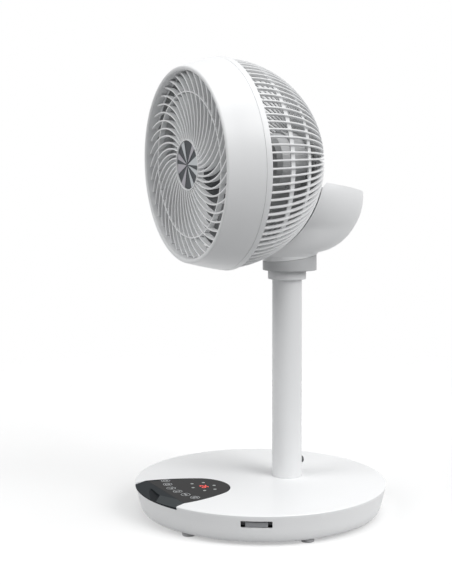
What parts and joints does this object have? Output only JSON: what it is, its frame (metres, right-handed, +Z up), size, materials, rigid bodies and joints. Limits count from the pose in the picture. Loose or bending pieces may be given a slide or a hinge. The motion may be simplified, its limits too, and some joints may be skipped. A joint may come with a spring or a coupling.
{
  "type": "air circulator fan",
  "caption": "Pole-mounted air circulator fan: round head with spiral vane grille tilting in a ball-shaped neck on a swivel, pole, and round base with touch panel and stowed remote.",
  "frame": {"origin": "centre of the base on the floor, under the middle of its round outline", "axes": "+Z up; the fan blows towards -Y at rest, with the control panel on the -Y side of the base; +X is to the left of someone facing the fan's front"},
  "size_m": [0.36, 0.36, 0.6483],
  "materials": {
    "white_base": "satin moulded ABS",
    "base_floor": "matt moulded ABS",
    "screw_steel": "zinc plated",
    "ballast_iron": "as cast",
    "foot_rubber": "matt",
    "panel_dark": "fine matt",
    "panel_lens": "smooth, faintly smoked",
    "circuit_board": "solder mask",
    "display_epoxy": "clear epoxy",
    "sleeve_grey": "matt",
    "remote_grey": "fine matt",
    "key_rubber": "soft touch",
    "inlet_black": "matt",
    "spigot_steel": "powder coat",
    "pole_paint": "satin powder coat",
    "button_grey": "matt",
    "spring_steel": "rolled",
    "white_collar": "satin moulded ABS",
    "spindle_steel": "turned",
    "ring_steel": "stamped",
    "gear_acetal": "moulded acetal",
    "pinion_acetal": "moulded acetal",
    "white_neck": "satin moulded ABS",
    "washer_acetal": "moulded acetal",
    "white_bowl": "satin moulded ABS",
    "white_liner": "satin moulded ABS",
    "bracket_steel": "zinc plated sheet",
    "bush_acetal": "moulded acetal",
    "motor_can": "plated can",
    "white_ring": "satin moulded ABS",
    "white_rear": "satin moulded ABS",
    "yoke_plastic": "glass-filled moulding",
    "fan_motor_can": "plated can",
    "vane_grey": "satin moulded ABS",
    "medallion_silver": "satin silver on slate",
    "pin_steel": "turned",
    "tilt_motor_can": "plated can",
    "shaft_steel": "ground",
    "blade_grey": "satin moulded ABS",
    "nut_grey": "moulded"
  },
  "bodies": {
    "stand": {"base_cover": "white_base", "base_plate": "base_floor", "base_screws": "screw_steel", "base_weight": "ballast_iron", "rubber_feet": "foot_rubber", "panel_housing": "panel_dark", "panel_lens": "panel_lens", "control_board": "circuit_board", "display_module": "display_epoxy", "remote_sleeve": "sleeve_grey", "dc_inlet": "inlet_black", "column_spigot": "spigot_steel", "column_tube": "pole_paint", "lower_collar": "white_collar", "swivel_spindle": "spindle_steel", "spindle_ring": "ring_steel", "swivel_gear": "gear_acetal"},
    "button": {"pole_button": "button_grey", "snap_spring": "spring_steel"},
    "remote": {"remote_control": "remote_grey", "remote_keys": "key_rubber"},
    "pinion": {"swivel_pinion": "pinion_acetal"},
    "neck": {"upper_collar": "white_neck", "swivel_washer": "washer_acetal", "neck_bowl": "white_bowl", "cradle_liner": "white_liner", "pivot_bracket": "bracket_steel", "pivot_bushes": "bush_acetal", "swivel_motor": "motor_can"},
    "head": {"front_ring": "white_ring", "ring_screws": "screw_steel", "rear_grille": "white_rear", "tilt_yoke": "yoke_plastic", "motor_screws": "screw_steel", "fan_motor": "fan_motor_can", "front_grille": "vane_grey", "hub_medallion": "medallion_silver", "pivot_pin": "pin_steel", "tilt_motor": "tilt_motor_can"},
    "impeller": {"motor_shaft": "shaft_steel", "impeller": "blade_grey", "blade_nut": "nut_grey"}
  },
  "joints": [
    {"name": "neck_swivel", "type": "hinge", "parent": "stand", "child": "neck", "pos_m": [0, 0.0446, 0.3424], "axis": [0, 0, 1], "range_deg": [-40, 40]},
    {"name": "head_tilt", "type": "hinge", "parent": "neck", "child": "head", "pos_m": [0, 0.0776, 0.45], "axis": [-1, 0, 0], "range_deg": [0, 85]},
    {"name": "impeller_spin", "type": "hinge", "parent": "head", "child": "impeller", "pos_m": [0, -0.06738, 0.49599], "axis": [0, -0.9989, -0.0471], "continuous": true},
    {"name": "pinion_spin", "type": "hinge", "parent": "neck", "child": "pinion", "pos_m": [0, 0.0731, 0.3528], "axis": [0, 0, 1], "range_deg": [-112, 112]},
    {"name": "button_press", "type": "slide", "parent": "stand", "child": "button", "axis": [0, -1, 0], "range_m": [0, 0.003], "stiffness_N_per_m": 600},
    {"name": "remote_slide", "type": "slide", "parent": "stand", "child": "remote", "axis": [0.8607, -0.509, 0], "range_m": [0, 0.06]}
  ],
  "couplings": [
    {"joint": "pinion_spin", "follows": "neck_swivel", "ratio": 2.8}
  ]
}
